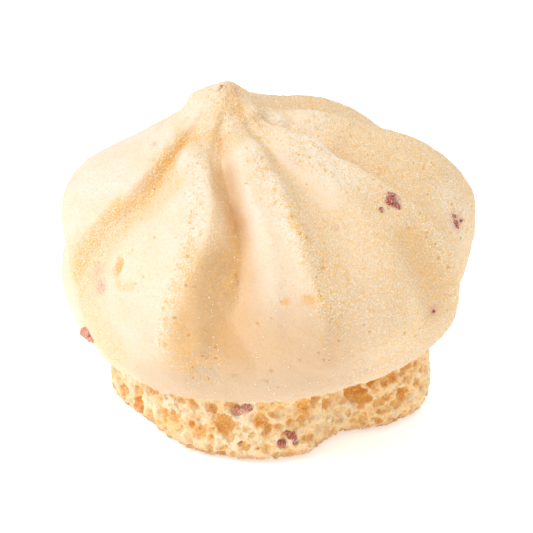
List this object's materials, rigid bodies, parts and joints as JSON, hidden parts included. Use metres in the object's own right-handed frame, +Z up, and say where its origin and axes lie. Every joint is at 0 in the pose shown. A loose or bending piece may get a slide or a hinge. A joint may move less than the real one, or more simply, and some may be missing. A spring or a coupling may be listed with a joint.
{
  "type": "meringue cookie",
  "caption": "Baked piped meringue cookie: a lobed, swirled dome drawn up to an off-centre tip, on a narrower crumbly foot with a flat base.",
  "frame": {"origin": "centre of the box under the cookie, on the surface that its flat base rests on", "axes": "+Z up towards the tip; -Y towards the shown front, with the deep furrow; +X to the right as seen from the front"},
  "size_m": [0.0446, 0.0438, 0.037],
  "materials": {
    "baked_crust": "matt, dry, fine-grained cream sugar crust, golden in its furrows and pinholes"
  },
  "bodies": {
    "root": {"meringue": "baked_crust"}
  },
  "joints": []
}
